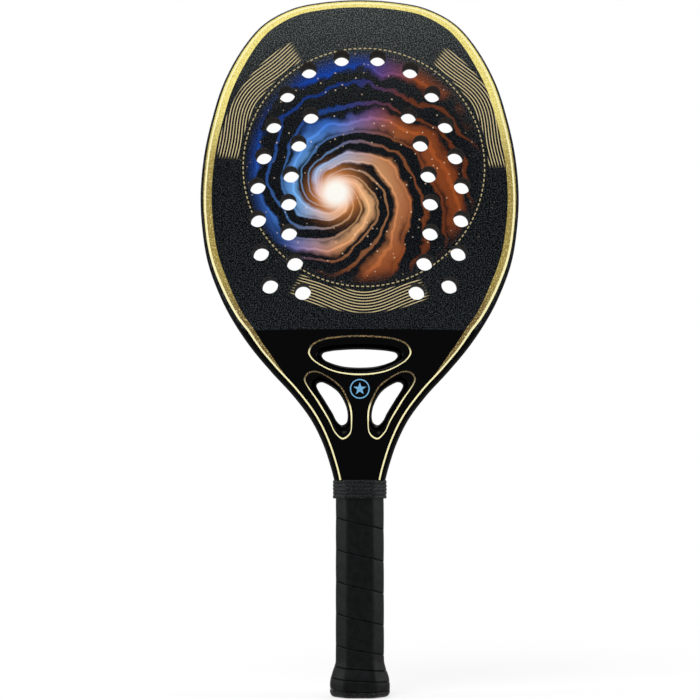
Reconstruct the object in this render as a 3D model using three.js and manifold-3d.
// Beach tennis racket, standing on its butt. Millimetres, +Z up along the handle.
// The front face looks towards -Y and the width lies along X.
// The origin is the middle of the butt's flat end.

import * as THREE from 'three';
import { mergeVertices } from 'three/addons/utils/BufferGeometryUtils.js';
import Module from 'manifold-3d';

const wasm = await Module();
wasm.setup();

// Driving sizes of the whole racket
const LENGTH = 500;
const HEAD_WIDTH = 229.8;
const HEAD_THICKNESS = 22;
const NECK_WIDTH = 36.6;
const NECK_THICKNESS = 28;
const NECK_BOTTOM = 151.5;

// Fits between pieces, and how far a cut runs past what it cuts
const FIT_GAP = 0.3;
const OVERRUN = 2;

// Head: skins, hoop and the drilled holes
const SKIN_THICKNESS = 0.8;
const HOOP_WIDTH = 11;
const HOLE_DIAMETER = 12;

// Rounded sides of the moulding, as deep as this at their widest, in the throat
const SIDE_ROUND = 5.2;
const SIDE_FULLNESS = 2.4;
const WALL_FULLNESS = 2.1;

// Hollow tube inside the moulding, the foam-filled bridge and the foam-filled strut
const TUBE_BORE_WIDTH = 7.6;
const TUBE_BORE_DEPTH = 17;
const TUBE_WALL = 2;
const LEG_INSET = 7.6;
const BRIDGE_BORE_HEIGHT = 10;
const STRUT_BORE_WIDTH = 6;

// Handle: outside of the wrapped grip, its wrap and the butt
const GRIP_WIDTH = 34.1;
const GRIP_DEPTH = 29;
const GRIP_CORNER = 2.4;
const WRAP_THICKNESS = 1.8;
const WRAP_ROLL = 0.6;
const WRAP_PITCH = 22.3;
const LAP_PITCH = 7.6;
const LAP_TURNS = 2;
const EASE_TURNS = 1.4;
const WRAP_SEAM = 0.5;
const WRAP_TIP = 2.4;
const BUTT_FLARE = 4;
const FLARE_FOOT = 9;
const BUTT_HEIGHT = 26;
const BUTT_LIP = 4.4;
const BUTT_ROUND = 4;
const BUTT_FLOOR = 3;

// Way for a wrist cord: in at one hole, over the floor of the cap and out at the other
const CORD_HOLE = 7;
const CORD_SPACING = 14;
const CORD_ROOM = 8;

// Rubber collar over the top of the wrap, and the tape under it
const COLLAR_HEIGHT = 13;
const COLLAR_WALL = 1.3;
const COLLAR_OVERLAP = 4.4;
const RIB_COUNT = 5;
const RIB_HEIGHT = 0.5;
const TAPE_THICKNESS = 0.5;
const TAPE_WIDTH = 5;

// Counts of facets, and of samples taken along a curve
const OUTLINE_STEPS = 50;
const HOLE_SIDES = 12;
const BORE_SIDES = 8;
const TUBE_STEPS = 72;
const CORNER_STEPS = 2;
const OPENING_STEPS = 2;
const POCKET_STEPS = 8;
const FOOT_STEPS = 5;
const SLEEVE_STEPS = 6;
const GAP_SAMPLES = 8;
const PATH_SAMPLES = 600;

// Half of the outline seen from the front, tip to neck. Each point is a share of half
// the head's width and a share of the height from the neck's bottom to the tip.
const OUTLINE_SHARES = [
  [0, 1],
  [0.246, 0.9945],
  [0.425, 0.9816],
  [0.605, 0.949],
  [0.737, 0.8989],
  [0.86, 0.8233],
  [0.931, 0.7479],
  [0.979, 0.6724],
  [1, 0.5898],
  [0.989, 0.5211],
  [0.95, 0.4459],
  [0.8635, 0.3708],
  [0.782, 0.3212],
  [0.679, 0.2716],
  [0.552, 0.2217],
  [0.4145, 0.1724],
  [0.3025, 0.1229],
  [0.2285, 0.0738],
  [0.1785, 0.0246],
];

// How deep the rounded side reaches in, as height share and share of SIDE_ROUND
const ROUND_SHARES = [
  [1, 0.52],
  [0.49, 0.54],
  [0.32, 0.75],
  [0.295, 1],
  [0.22, 0.94],
  [0, 0.88],
];

// Depth levels of a rounded side, as shares of half the thickness
const LEVEL_SHARES = [-1, -0.96, -0.75, 0, 0.75, 0.96, 1];

// Half of the upper throat opening, top to bottom: the edge on the face, then the
// narrowest edge half way through, in the same shares as the outline
const UPPER_OPENING_SHARES = [
  [0, 0.2932, 0, 0.2687],
  [0.1375, 0.291, 0.1095, 0.2673],
  [0.2268, 0.2862, 0.184, 0.2647],
  [0.2916, 0.2755, 0.226, 0.2609],
  [0.314, 0.2596, 0.2356, 0.2551],
  [0.2965, 0.2478, 0.2207, 0.2473],
  [0.2557, 0.2367, 0.1795, 0.2404],
  [0.1515, 0.2209, 0.1007, 0.2332],
  [0, 0.2148, 0, 0.2309],
];

// The lower throat opening on the +X side, all the way round, in the same form
const LOWER_OPENING_SHARES = [
  [0.34, 0.2038, 0.269, 0.1931],
  [0.325, 0.2151, 0.263, 0.1975],
  [0.3, 0.2197, 0.249, 0.2001],
  [0.262, 0.2197, 0.232, 0.2004],
  [0.197, 0.2095, 0.188, 0.1937],
  [0.12, 0.1894, 0.1366, 0.1808],
  [0.0822, 0.1675, 0.1, 0.1626],
  [0.0566, 0.1441, 0.0795, 0.1439],
  [0.0515, 0.122, 0.0755, 0.1275],
  [0.0609, 0.0944, 0.0844, 0.1174],
  [0.1062, 0.0838, 0.1131, 0.1128],
  [0.1525, 0.0968, 0.1427, 0.1208],
  [0.1862, 0.1197, 0.168, 0.1367],
  [0.255, 0.1581, 0.2154, 0.1623],
];

// Centres of the drilled holes on the +X side, outer ring then inner ring
const HOLE_SHARES = [
  [0.114, 0.8732],
  [0.32, 0.8476],
  [0.457, 0.7969],
  [0.542, 0.7322],
  [0.6025, 0.6668],
  [0.641, 0.6046],
  [0.6365, 0.5356],
  [0.618, 0.4656],
  [0.5605, 0.3981],
  [0.308, 0.7522],
  [0.3835, 0.6934],
  [0.4315, 0.6284],
  [0.4455, 0.5705],
  [0.443, 0.508],
  [0.4055, 0.4454],
  [0.3555, 0.3851],
];

// Heights that belong to the head and throat, as shares of the same height
const FACE_EDGE_SHARES = { middle: 0.3078, side: 0.301 };
const CORE_CORNER_SHARE = 0.37;
const CORE_BOTTOM_SHARE = 0.333;
const THICKEN_TOP_SHARE = 0.26;
const BRIDGE_SHARE = 0.303;
const LEG_TOP_SHARES = { low: 0.24, high: 0.355 };
const LEG_FOOT_SHARE = 0.125;
const STRUT_BORE_SHARES = { low: -0.01, foam: 0.03, high: 0.2 };

// Steps of the butt's rounded lip from its flat end upwards, as shares of BUTT_ROUND
const LIP_SHARES = [1, 0.9, 0.6, 0];

// Flats of the eight-sided handle, as shares of its half width and half depth
const FRONT_FLAT_SHARE = 0.51;
const SIDE_FLAT_SHARE = 0.45;

// How far from the middle each of the stem's two bores runs, as a share of that half width
const BORE_PLACE_SHARE = 0.3123;

// Sizes that follow from the driving ones
const halfThickness = HEAD_THICKNESS / 2;
const skinPlane = halfThickness - SKIN_THICKNESS;
const bodyHeight = LENGTH - NECK_BOTTOM;
const gripHalfWidth = GRIP_WIDTH / 2;
const gripHalfDepth = GRIP_DEPTH / 2;
const boreX = gripHalfWidth * BORE_PLACE_SHARE;
const stemHalfWidth = boreX + TUBE_BORE_WIDTH / 2 + TUBE_WALL;
const stemHalfDepth = TUBE_BORE_DEPTH / 2 + TUBE_WALL;
const wrapTop = NECK_BOTTOM - COLLAR_HEIGHT + COLLAR_OVERLAP - FIT_GAP;
const palletTop = wrapTop + FIT_GAP;
const wrapBottom = BUTT_LIP + FIT_GAP;
const stemBottom = BUTT_FLOOR + CORD_ROOM;

const heightAt = (share) => NECK_BOTTOM + share * bodyHeight;
const widthAt = (share) => (share * HEAD_WIDTH) / 2;

// A smooth step from 0 to 1
function ease(value) {
  const t = Math.min(1, Math.max(0, value));
  return t * t * (3 - 2 * t);
}

// Share of a rounded side's depth that is gone at this share of the half thickness
function roundedAway(level, fullness) {
  const kept = Math.pow(1 - Math.pow(Math.abs(level), fullness), 1 / fullness);
  return 1 - kept;
}

// A closed geometry as a solid for joining and cutting
function solidOf(geometry) {
  const bare = geometry.clone();
  bare.deleteAttribute('normal');
  bare.deleteAttribute('uv');
  const merged = mergeVertices(bare);
  return new wasm.Manifold(
    new wasm.Mesh({
      numProp: 3,
      vertProperties: new Float32Array(merged.attributes.position.array),
      triVerts: new Uint32Array(merged.index.array),
    }),
  );
}

// A solid back as a geometry
function geometryOf(solid) {
  const mesh = solid.getMesh();
  const geometry = new THREE.BufferGeometry();
  geometry.setAttribute('position', new THREE.BufferAttribute(mesh.vertProperties, mesh.numProp));
  geometry.setIndex(new THREE.BufferAttribute(mesh.triVerts, 1));
  return geometry;
}

// Volume inside a list of triangles, negative when they face inwards
function signedVolume(points, faces) {
  let total = 0;
  for (const [a, b, c] of faces) {
    total += points[a].dot(points[b].clone().cross(points[c]));
  }
  return total / 6;
}

// Body through rings of equal length. Without cap faces the last ring joins the first.
function loft(rings, capFaces) {
  const size = rings[0].length;
  const points = rings.flat();
  const faces = [];
  const spans = capFaces ? rings.length - 1 : rings.length;
  for (let r = 0; r < spans; r++) {
    const here = r * size;
    const next = ((r + 1) % rings.length) * size;
    for (let i = 0; i < size; i++) {
      const j = (i + 1) % size;
      faces.push([here + i, here + j, next + j]);
      faces.push([here + i, next + j, next + i]);
    }
  }
  if (capFaces) {
    const last = (rings.length - 1) * size;
    for (const [a, b, c] of capFaces) {
      faces.push([a, c, b]);
      faces.push([last + a, last + b, last + c]);
    }
  }
  if (signedVolume(points, faces) < 0) {
    faces.forEach((face) => face.reverse());
  }
  const geometry = new THREE.BufferGeometry();
  geometry.setFromPoints(points);
  geometry.setIndex(faces.flat());
  return geometry;
}

// Cap of a flat or nearly flat ring, from its points seen along one axis
function capOf(ring, across, up) {
  const flat = ring.map((p) => new THREE.Vector2(p[across], p[up]));
  const faces = THREE.ShapeUtils.triangulateShape(flat, []);
  return THREE.ShapeUtils.isClockWise(flat) ? faces.map(([a, b, c]) => [a, c, b]) : faces;
}

// Prism through the racket's thickness, from an outline seen from the front
function throughPrism(outline, yFront, yBack, holes = []) {
  const shape = new THREE.Shape(outline);
  shape.holes = holes.map((hole) => new THREE.Path(hole));
  const depth = yBack - yFront;
  const geometry = new THREE.ExtrudeGeometry(shape, { depth, bevelEnabled: false });
  geometry.rotateX(Math.PI / 2);
  return geometry.translate(0, yBack, 0);
}

function boxBetween(low, high) {
  const size = high.clone().sub(low);
  const geometry = new THREE.BoxGeometry(size.x, size.y, size.z);
  return geometry.translate((low.x + high.x) / 2, (low.y + high.y) / 2, (low.z + high.z) / 2);
}

function ellipse(halfX, halfY, sides) {
  const points = [];
  for (let i = 0; i < sides; i++) {
    const angle = ((i + 0.5) / sides) * 2 * Math.PI;
    points.push(new THREE.Vector2(halfX * Math.cos(angle), halfY * Math.sin(angle)));
  }
  return points;
}

// Right half of the outline, tip first, evenly spaced, with its outward directions
function sampleOutline() {
  const right = OUTLINE_SHARES.map(([x, z]) => new THREE.Vector3(widthAt(x), 0, heightAt(z)));
  right.push(new THREE.Vector3(NECK_WIDTH / 2, 0, NECK_BOTTOM));
  const left = right.slice(1).map((p) => new THREE.Vector3(-p.x, 0, p.z));
  const curve = new THREE.CatmullRomCurve3([...left.reverse(), ...right], false, 'centripetal');
  curve.arcLengthDivisions = OUTLINE_STEPS * OUTLINE_SHARES.length;
  const samples = curve.getSpacedPoints(OUTLINE_STEPS * 2).slice(OUTLINE_STEPS);
  samples[0].x = 0;
  return samples.map((point, i) => {
    const before = samples[Math.max(0, i - 1)];
    const after = samples[Math.min(OUTLINE_STEPS, i + 1)];
    const along = after.clone().sub(before).normalize();
    const outward = new THREE.Vector3(-along.z, 0, along.x);
    if (i === 0) {
      outward.set(0, 0, 1);
    }
    if (i === OUTLINE_STEPS) {
      outward.set(1, 0, 0);
    }
    return { point, outward };
  });
}

const outline = sampleOutline();

function sideRoundAt(z) {
  const share = Math.min(1, Math.max(0, (z - NECK_BOTTOM) / bodyHeight));
  const row = ROUND_SHARES.findIndex(([height], i) => i > 0 && share >= height);
  const [highZ, highRound] = ROUND_SHARES[row - 1];
  const [lowZ, lowRound] = ROUND_SHARES[row];
  const t = (share - lowZ) / (highZ - lowZ);
  return SIDE_ROUND * (lowRound + t * (highRound - lowRound));
}

// Half thickness: that of the head, growing down the throat to the neck
function halfThicknessAt(z) {
  const top = heightAt(THICKEN_TOP_SHARE);
  const grown = ease((top - z) / (top - NECK_BOTTOM));
  return halfThickness + (NECK_THICKNESS / 2 - halfThickness) * grown;
}

// Ring round the moulding at one depth level, tip, right side down, left side up
function bodyRing(level) {
  const right = outline.map(({ point, outward }) => {
    const inset = sideRoundAt(point.z) * roundedAway(level, SIDE_FULLNESS);
    const moved = point.clone().addScaledVector(outward, -inset);
    moved.y = level * halfThicknessAt(moved.z);
    return moved;
  });
  const left = right.slice(1).map((p) => new THREE.Vector3(-p.x, p.y, p.z));
  return [...right, ...left.reverse()];
}

// Ladder of triangles across a body ring, each rung level
function ladderCap() {
  const count = OUTLINE_STEPS * 2 + 1;
  const faces = [[0, 1, count - 1]];
  for (let i = 1; i < OUTLINE_STEPS; i++) {
    faces.push([i, i + 1, count - i - 1]);
    faces.push([i, count - i - 1, count - i]);
  }
  return faces;
}

function mouldingEnvelope() {
  return solidOf(loft(LEVEL_SHARES.map(bodyRing), ladderCap()));
}

// Points of the face's lower edge, a shallow arch, from +X to -X
function faceEdge(gap) {
  const points = [];
  for (let i = 0; i <= POCKET_STEPS; i++) {
    const t = 1 - (2 * i) / POCKET_STEPS;
    const { middle, side } = FACE_EDGE_SHARES;
    const z = heightAt(middle + (side - middle) * t * t) - gap;
    points.push(new THREE.Vector2((t * HEAD_WIDTH) / 2, z));
  }
  return points;
}

// Everything above the face's lower edge, between two depths
function faceRegion(gap, yFront, yBack) {
  const wide = HEAD_WIDTH / 2 + OVERRUN;
  const high = LENGTH + OVERRUN;
  const edge = faceEdge(gap);
  const corners = [
    new THREE.Vector2(-wide, edge[POCKET_STEPS].y),
    new THREE.Vector2(-wide, high),
    new THREE.Vector2(wide, high),
    new THREE.Vector2(wide, edge[0].y),
  ];
  return solidOf(throughPrism([...edge, ...corners].reverse(), yFront, yBack));
}

// Outline of the space inside the hoop, which the core fills
function coreOutline(clearance) {
  const inset = HOOP_WIDTH + clearance;
  const upper = outline
    .filter(({ point }) => point.z > heightAt(CORE_CORNER_SHARE))
    .map(({ point, outward }) => {
      const moved = point.clone().addScaledVector(outward, -inset);
      return new THREE.Vector2(moved.x, moved.z);
    });
  const corner = upper[upper.length - 1];
  const slope = corner.clone().sub(upper[upper.length - 2]);
  const bottom = heightAt(CORE_BOTTOM_SHARE) + clearance;
  const pull = new THREE.Vector2(corner.x + (slope.x * (bottom - corner.y)) / slope.y, bottom);
  const middle = new THREE.Vector2(0, bottom);
  const lower = new THREE.QuadraticBezierCurve(corner, pull, middle).getPoints(POCKET_STEPS);
  const right = [...upper, ...lower.slice(1)];
  const left = right.slice(1, -1).map((p) => new THREE.Vector2(-p.x, p.y));
  return [...right, ...left.reverse()];
}

function holeCentres() {
  const right = HOLE_SHARES.map(([x, z]) => new THREE.Vector2(widthAt(x), heightAt(z)));
  return [...right, ...right.map((p) => new THREE.Vector2(-p.x, p.y))];
}

function holeOutlines() {
  const radius = HOLE_DIAMETER / 2;
  return holeCentres().map((centre) => ellipse(radius, radius, HOLE_SIDES).map((p) => p.add(centre)));
}

// Solid that fills a throat opening, narrowest half way through the thickness
function openingPlug(shares, mirrored) {
  const loop = (across, up) => {
    const flip = mirrored ? -1 : 1;
    const corners = shares.map((row) => {
      return new THREE.Vector3(flip * widthAt(row[across]), 0, heightAt(row[up]));
    });
    const curve = new THREE.CatmullRomCurve3(corners, true, 'centripetal');
    return curve.getPoints(corners.length * OPENING_STEPS).slice(0, -1);
  };
  const face = loop(0, 1);
  const middle = loop(2, 3);
  const ringAt = (level) => {
    const open = roundedAway(level, WALL_FULLNESS);
    return face.map((p, i) => {
      const point = middle[i].clone().lerp(p, open);
      point.y = level * halfThicknessAt(point.z);
      return point;
    });
  };
  const outside = NECK_THICKNESS / 2 + HEAD_THICKNESS / 2 + OVERRUN;
  const ends = [-outside, outside].map((y) => face.map((p) => new THREE.Vector3(p.x, y, p.z)));
  const rings = [ends[0], ...LEVEL_SHARES.map(ringAt), ends[1]];
  return solidOf(loft(rings, capOf(face, 'x', 'z')));
}

// The upper opening's table holds one half, so the other half is added
function bothHalves(shares) {
  const other = shares.slice(1, -1).map(([x, z, midX, midZ]) => [-x, z, -midX, midZ]);
  return [...shares, ...other.reverse()];
}

// Half width of the outline at a height in the throat
function outlineWidthAt(z) {
  const found = outline.findIndex(({ point }, i) => i > OUTLINE_STEPS / 2 && point.z <= z);
  const row = found < 0 ? OUTLINE_STEPS : found;
  const low = outline[row].point;
  const high = outline[row - 1].point;
  return low.x + ((high.x - low.x) * (z - low.z)) / (high.z - low.z);
}

// Middle line of the hollow tube: up one leg, round the hoop and down the other leg
function tubePath() {
  const footTop = heightAt(LEG_FOOT_SHARE);
  const right = [];
  outline.forEach(({ point, outward }, i) => {
    if (i % 2 === 0 && point.z > footTop) {
      const { low, high } = LEG_TOP_SHARES;
      const hoop = ease((point.z - heightAt(low)) / (heightAt(high) - heightAt(low)));
      const inset = LEG_INSET + (HOOP_WIDTH / 2 - LEG_INSET) * hoop;
      right.push(point.clone().addScaledVector(outward, -inset));
    }
  });
  const footBottom = palletTop - TUBE_BORE_WIDTH / 2;
  for (let i = 1; i <= FOOT_STEPS; i++) {
    const z = footTop + ((footBottom - footTop) * i) / FOOT_STEPS;
    const legX = outlineWidthAt(Math.max(z, NECK_BOTTOM)) - LEG_INSET;
    const spread = ease((z - footBottom) / (footTop - footBottom));
    right.push(new THREE.Vector3(boreX + (legX - boreX) * spread, 0, z));
  }
  right.push(new THREE.Vector3(boreX, 0, footBottom / 2));
  right.push(new THREE.Vector3(boreX, 0, stemBottom - OVERRUN));
  const left = right.slice(1).map((p) => new THREE.Vector3(-p.x, 0, p.z));
  return new THREE.CatmullRomCurve3([...left.reverse(), ...right], false, 'centripetal');
}

// Solid of the tube's bore, smaller all round by a clearance
function tubeBore(clearance) {
  const halfDepth = TUBE_BORE_DEPTH / 2 - clearance;
  const halfWidth = TUBE_BORE_WIDTH / 2 - clearance;
  const section = new THREE.Shape(ellipse(halfDepth, halfWidth, BORE_SIDES));
  const extrudePath = tubePath();
  extrudePath.arcLengthDivisions = TUBE_STEPS * BORE_SIDES;
  const geometry = new THREE.ExtrudeGeometry(section, { steps: TUBE_STEPS, extrudePath });
  return solidOf(geometry);
}

// How far the bridge reaches to each side: its bore runs into the tube's bore, and its
// foam stops short of the tube's foam beside it
function bridgeReach() {
  const height = heightAt(BRIDGE_SHARE);
  const beside = (BRIDGE_BORE_HEIGHT + TUBE_BORE_WIDTH) / 2 + TUBE_WALL;
  const right = tubePath().getPoints(PATH_SAMPLES).filter((p) => p.x > 0);
  const level = right.filter((p) => p.z > height);
  const near = right.filter((p) => Math.abs(p.z - height) < beside);
  const bore = level[level.length - 1].x;
  const foam = Math.min(...near.map((p) => p.x)) - TUBE_BORE_WIDTH / 2 - TUBE_WALL;
  return { bore, foam };
}

// Foam-filled space across the bottom of the head, between the two sides of the hoop
function bridgeBore(reach, clearance) {
  const halfDepth = TUBE_BORE_DEPTH / 2 - clearance;
  const halfHeight = BRIDGE_BORE_HEIGHT / 2 - clearance;
  const section = new THREE.Shape(ellipse(halfHeight, halfDepth, BORE_SIDES));
  const geometry = new THREE.ExtrudeGeometry(section, { depth: reach * 2, bevelEnabled: false });
  geometry.rotateY(Math.PI / 2);
  return geometry.translate(-reach, 0, heightAt(BRIDGE_SHARE));
}

// Foam-filled space up the middle of the throat
function strutBore(low, high, clearance) {
  const halfDepth = TUBE_BORE_DEPTH / 2 - clearance;
  const halfWidth = STRUT_BORE_WIDTH / 2 - clearance;
  const section = new THREE.Shape(ellipse(halfWidth, halfDepth, BORE_SIDES));
  const depth = high - low;
  const geometry = new THREE.ExtrudeGeometry(section, { depth, bevelEnabled: false });
  return geometry.translate(0, 0, low);
}

// Eight-sided section of the handle with rounded corners, from the front face round
// by the +X side, at one height
function handleSection(halfWidth, halfDepth, z) {
  const a = halfWidth * FRONT_FLAT_SHARE;
  const b = halfDepth * SIDE_FLAT_SHARE;
  const corners = [
    [a, -halfDepth],
    [halfWidth, -b],
    [halfWidth, b],
    [a, halfDepth],
    [-a, halfDepth],
    [-halfWidth, b],
    [-halfWidth, -b],
    [-a, -halfDepth],
  ].map(([x, y]) => new THREE.Vector3(x, y, z));
  const section = [];
  corners.forEach((point, i) => {
    const before = corners[(i + corners.length - 1) % corners.length];
    const after = corners[(i + 1) % corners.length];
    const start = point.clone().lerp(before, GRIP_CORNER / point.distanceTo(before));
    const end = point.clone().lerp(after, GRIP_CORNER / point.distanceTo(after));
    const bend = new THREE.QuadraticBezierCurve3(start, point, end);
    section.push(...bend.getPoints(CORNER_STEPS));
  });
  return section;
}

const sectionCap = capOf(handleSection(gripHalfWidth, gripHalfDepth, 0), 'x', 'y');

// Prism of the handle's section, set in from the outside of the grip
function handlePrism(inset, low, high) {
  const ringAt = (z) => handleSection(gripHalfWidth - inset, gripHalfDepth - inset, z);
  return solidOf(loft([low, high].map(ringAt), sectionCap));
}

// Prism of the stem's section, larger all round by a clearance
function stemPrism(clearance, low, high) {
  const ringAt = (z) => handleSection(stemHalfWidth + clearance, stemHalfDepth + clearance, z);
  return solidOf(loft([low, high].map(ringAt), sectionCap));
}

// How far the butt flares out beyond the grip at a height
function flareAt(z) {
  return BUTT_FLARE * ease((BUTT_HEIGHT - z) / (BUTT_HEIGHT - FLARE_FOOT));
}

// The moulding: hoop, throat, neck and the stem inside the handle, in one piece
function makeMoulding() {
  const far = halfThickness + OVERRUN;
  const seatInset = FIT_GAP + TAPE_THICKNESS;
  const seat = handlePrism(seatInset, palletTop, NECK_BOTTOM + OVERRUN);
  const stem = stemPrism(0, stemBottom, palletTop + OVERRUN);
  const strut = STRUT_BORE_SHARES;
  let body = mouldingEnvelope().add(seat).add(stem);
  const cuts = [
    faceRegion(FIT_GAP, -far, -skinPlane),
    faceRegion(FIT_GAP, skinPlane, far),
    solidOf(throughPrism(coreOutline(0), -far, far)),
    openingPlug(bothHalves(UPPER_OPENING_SHARES), false),
    openingPlug(LOWER_OPENING_SHARES, false),
    openingPlug(LOWER_OPENING_SHARES, true),
    tubeBore(0),
    solidOf(bridgeBore(bridgeReach().bore, 0)),
    solidOf(strutBore(heightAt(strut.low), heightAt(strut.high), 0)),
  ];
  for (const cut of cuts) {
    body = body.subtract(cut);
  }
  return geometryOf(body);
}

function makeTubeFoam() {
  const wide = HEAD_WIDTH / 2;
  const low = new THREE.Vector3(-wide, -halfThickness, stemBottom);
  const high = new THREE.Vector3(wide, halfThickness, LENGTH);
  return geometryOf(tubeBore(FIT_GAP).intersect(solidOf(boxBetween(low, high))));
}

function makeStrutFoam() {
  const { foam, high } = STRUT_BORE_SHARES;
  return strutBore(heightAt(foam), heightAt(high) - FIT_GAP, FIT_GAP);
}

function makeCore() {
  const plate = coreOutline(FIT_GAP);
  return throughPrism(plate, -skinPlane, skinPlane, holeOutlines());
}

// Skin on one face: the slice of the moulding's envelope outside the core
function makeSkin(side) {
  const far = halfThickness + OVERRUN;
  const depths = side < 0 ? [-far, -skinPlane] : [skinPlane, far];
  let skin = mouldingEnvelope().intersect(faceRegion(0, ...depths));
  for (const hole of holeOutlines()) {
    skin = skin.subtract(solidOf(throughPrism(hole, ...depths)));
  }
  return geometryOf(skin);
}

// Half of the handle's foam shell, in front of or behind the middle plane
function makePallet(side) {
  const shell = handlePrism(WRAP_THICKNESS + FIT_GAP, BUTT_HEIGHT, palletTop);
  const slot = stemPrism(FIT_GAP, BUTT_HEIGHT - OVERRUN, palletTop + OVERRUN);
  const halfLow = new THREE.Vector3(-GRIP_WIDTH, side < 0 ? -GRIP_DEPTH : 0, 0);
  const halfHigh = new THREE.Vector3(GRIP_WIDTH, side < 0 ? 0 : GRIP_DEPTH, LENGTH);
  return geometryOf(shell.intersect(solidOf(boxBetween(halfLow, halfHigh))).subtract(slot));
}

// Butt cap: rounded lip, flared sleeve under the wrap, socket for the stem and the
// two holes for a wrist cord
function makeButtCap() {
  const lipRing = (z, inset) => {
    const flare = flareAt(z) - inset;
    return handleSection(gripHalfWidth + flare, gripHalfDepth + flare, z);
  };
  const rings = [];
  for (const level of LIP_SHARES) {
    rings.push(lipRing(BUTT_ROUND * (1 - level), BUTT_ROUND * roundedAway(level, 2)));
  }
  rings.push(lipRing(BUTT_LIP, 0));
  const sleeveInset = WRAP_THICKNESS + FIT_GAP;
  for (let i = 0; i <= SLEEVE_STEPS; i++) {
    rings.push(lipRing(BUTT_LIP + ((BUTT_HEIGHT - BUTT_LIP) * i) / SLEEVE_STEPS, sleeveInset));
  }
  const socket = stemPrism(FIT_GAP, BUTT_FLOOR, BUTT_HEIGHT + OVERRUN);
  let cap = solidOf(loft(rings, sectionCap)).subtract(socket);
  for (const side of [-1, 1]) {
    const hole = new THREE.CylinderGeometry(CORD_HOLE / 2, CORD_HOLE / 2, BUTT_FLOOR * 4, HOLE_SIDES);
    hole.rotateX(Math.PI / 2);
    hole.translate((side * CORD_SPACING) / 2, 0, 0);
    cap = cap.subtract(solidOf(hole));
  }
  return geometryOf(cap);
}

// Height of the seam between turns at the middle of the front, counted in turns from
// the butt. The first turns lap closely over the flare, the rest keep the full pitch.
function seamHeight(turn) {
  const past = Math.max(0, turn - LAP_TURNS);
  const eased = past < EASE_TURNS ? (past * past) / (2 * EASE_TURNS) : past - EASE_TURNS / 2;
  return wrapBottom - WRAP_SEAM / 2 + LAP_PITCH * turn + (WRAP_PITCH - LAP_PITCH) * eased;
}

// Grip wrap: one unbroken strip that winds up the handle, falling towards +X in front
function wrapStrip() {
  const outside = handleSection(gripHalfWidth, gripHalfDepth, 0);
  const count = outside.length;
  const front = new THREE.Vector3(0, -gripHalfDepth, 0);
  const lengths = [front.distanceTo(outside[0])];
  for (let i = 1; i < count; i++) {
    lengths.push(lengths[i - 1] + outside[i].distanceTo(outside[i - 1]));
  }
  const girth = lengths[count - 1] + front.distanceTo(outside[count - 1]);
  const sectionsAt = new Map();
  const pointAt = (index, z, inset) => {
    const flare = flareAt(z) - inset;
    const key = flare.toFixed(4);
    if (!sectionsAt.has(key)) {
      sectionsAt.set(key, handleSection(gripHalfWidth + flare, gripHalfDepth + flare, 0));
    }
    const point = sectionsAt.get(key)[index].clone();
    point.z = z;
    return point;
  };
  const stations = [];
  for (let turn = 0; seamHeight(turn - 2) < wrapTop; turn++) {
    for (let i = count - 1; i >= 0; i--) {
      const place = turn - lengths[i] / girth;
      const lower = seamHeight(Math.max(0, place)) + WRAP_SEAM / 2;
      const upper = Math.min(wrapTop, seamHeight(place + 1) - WRAP_SEAM / 2);
      if (upper - lower >= WRAP_TIP) {
        stations.push({ index: i, lower, upper });
      }
    }
  }
  const rings = stations.map(({ index, lower, upper }) => {
    const middle = (lower + upper) / 2;
    return [
      pointAt(index, lower, WRAP_THICKNESS),
      pointAt(index, lower, WRAP_ROLL),
      pointAt(index, lower + WRAP_ROLL, 0),
      pointAt(index, middle, 0),
      pointAt(index, upper - WRAP_ROLL, 0),
      pointAt(index, upper, WRAP_ROLL),
      pointAt(index, upper, WRAP_THICKNESS),
      pointAt(index, middle, WRAP_THICKNESS),
    ];
  });
  return { rings, count };
}

// Least distance between one turn's upper edge and the next turn's lower edge
function leastSeam({ rings, count }) {
  const dense = (edge) => {
    const points = [];
    for (let k = 0; k + 1 < rings.length; k++) {
      for (let s = 0; s < GAP_SAMPLES; s++) {
        const here = rings[k][edge].clone();
        points.push({ k, point: here.lerp(rings[k + 1][edge], s / GAP_SAMPLES) });
      }
    }
    return points;
  };
  let least = Infinity;
  for (const [upperEdge, lowerEdge] of [[6, 0], [5, 1]]) {
    const lower = dense(lowerEdge);
    for (const { k, point } of dense(upperEdge)) {
      for (const other of lower) {
        if (Math.abs(other.k - k - count) <= 2) {
          least = Math.min(least, point.distanceTo(other.point));
        }
      }
    }
  }
  return least;
}

function makeWrap() {
  const strip = wrapStrip();
  console.log(`grip wrap: least gap to itself ${leastSeam(strip).toFixed(3)} mm`);
  const cap = [];
  for (let i = 1; i + 1 < strip.rings[0].length; i++) {
    cap.push([0, i, i + 1]);
  }
  return loft(strip.rings, cap);
}

// Tape round the neck, just above the end of the wrap
function makeTape() {
  const low = palletTop + FIT_GAP;
  const ringAt = (inset, z) => handleSection(gripHalfWidth - inset, gripHalfDepth - inset, z);
  return loft([
    ringAt(TAPE_THICKNESS, low),
    ringAt(0, low),
    ringAt(0, low + TAPE_WIDTH),
    ringAt(TAPE_THICKNESS, low + TAPE_WIDTH),
  ]);
}

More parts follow.
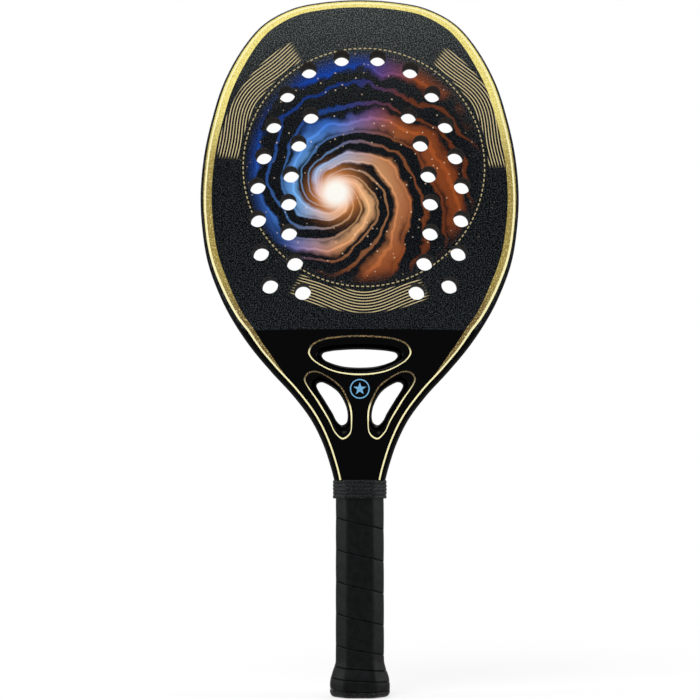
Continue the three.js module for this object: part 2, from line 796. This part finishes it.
// Rubber collar: a sleeve with ribs round it, over the tape and the wrap's top edge
function makeCollar() {
  const low = NECK_BOTTOM - COLLAR_HEIGHT;
  const high = NECK_BOTTOM - FIT_GAP;
  const pitch = (high - low) / RIB_COUNT;
  const ringAt = (outset, z) => handleSection(gripHalfWidth + outset, gripHalfDepth + outset, z);
  const valley = FIT_GAP + COLLAR_WALL;
  const rings = [];
  for (let rib = 0; rib < RIB_COUNT; rib++) {
    const foot = low + rib * pitch;
    rings.push(ringAt(valley, foot));
    rings.push(ringAt(valley + RIB_HEIGHT, foot + pitch / 3));
    rings.push(ringAt(valley + RIB_HEIGHT, foot + (2 * pitch) / 3));
  }
  rings.push(ringAt(valley, high));
  rings.push(ringAt(FIT_GAP, high));
  rings.push(ringAt(FIT_GAP, low));
  return loft(rings);
}

// Finishes
const GLOSS_BLACK = { color: 0x0b0b0d, roughness: 0.18, metalness: 0 };
const CARBON = { color: 0x2c2e30, roughness: 0.6, metalness: 0.1 };
const FOAM = { color: 0xc9a24a, roughness: 0.95, metalness: 0 };
const EVA = { color: 0x4a4643, roughness: 0.9, metalness: 0 };
const CAP_PLASTIC = { color: 0x151515, roughness: 0.5, metalness: 0 };
const WRAP_LEATHER = { color: 0x1f2020, roughness: 0.7, metalness: 0 };
const TAPE = { color: 0x101010, roughness: 0.4, metalness: 0 };
const RUBBER = { color: 0x232526, roughness: 0.8, metalness: 0 };

const racket = new THREE.Group();

function addPiece(name, geometry, finish) {
  geometry.computeVertexNormals();
  const mesh = new THREE.Mesh(geometry, new THREE.MeshStandardMaterial(finish));
  mesh.name = name;
  racket.add(mesh);
}

addPiece('frame_moulding', makeMoulding(), GLOSS_BLACK);
addPiece('tube_foam', makeTubeFoam(), FOAM);
addPiece('bridge_foam', bridgeBore(bridgeReach().foam, FIT_GAP), FOAM);
addPiece('strut_foam', makeStrutFoam(), FOAM);
addPiece('core_panel', makeCore(), EVA);
addPiece('front_skin', makeSkin(-1), CARBON);
addPiece('back_skin', makeSkin(1), CARBON);
addPiece('handle_pallet_front', makePallet(-1), FOAM);
addPiece('handle_pallet_back', makePallet(1), FOAM);
addPiece('butt_cap', makeButtCap(), CAP_PLASTIC);
addPiece('grip_wrap', makeWrap(), WRAP_LEATHER);
addPiece('finishing_tape', makeTape(), TAPE);
addPiece('rubber_collar', makeCollar(), RUBBER);

export default racket;
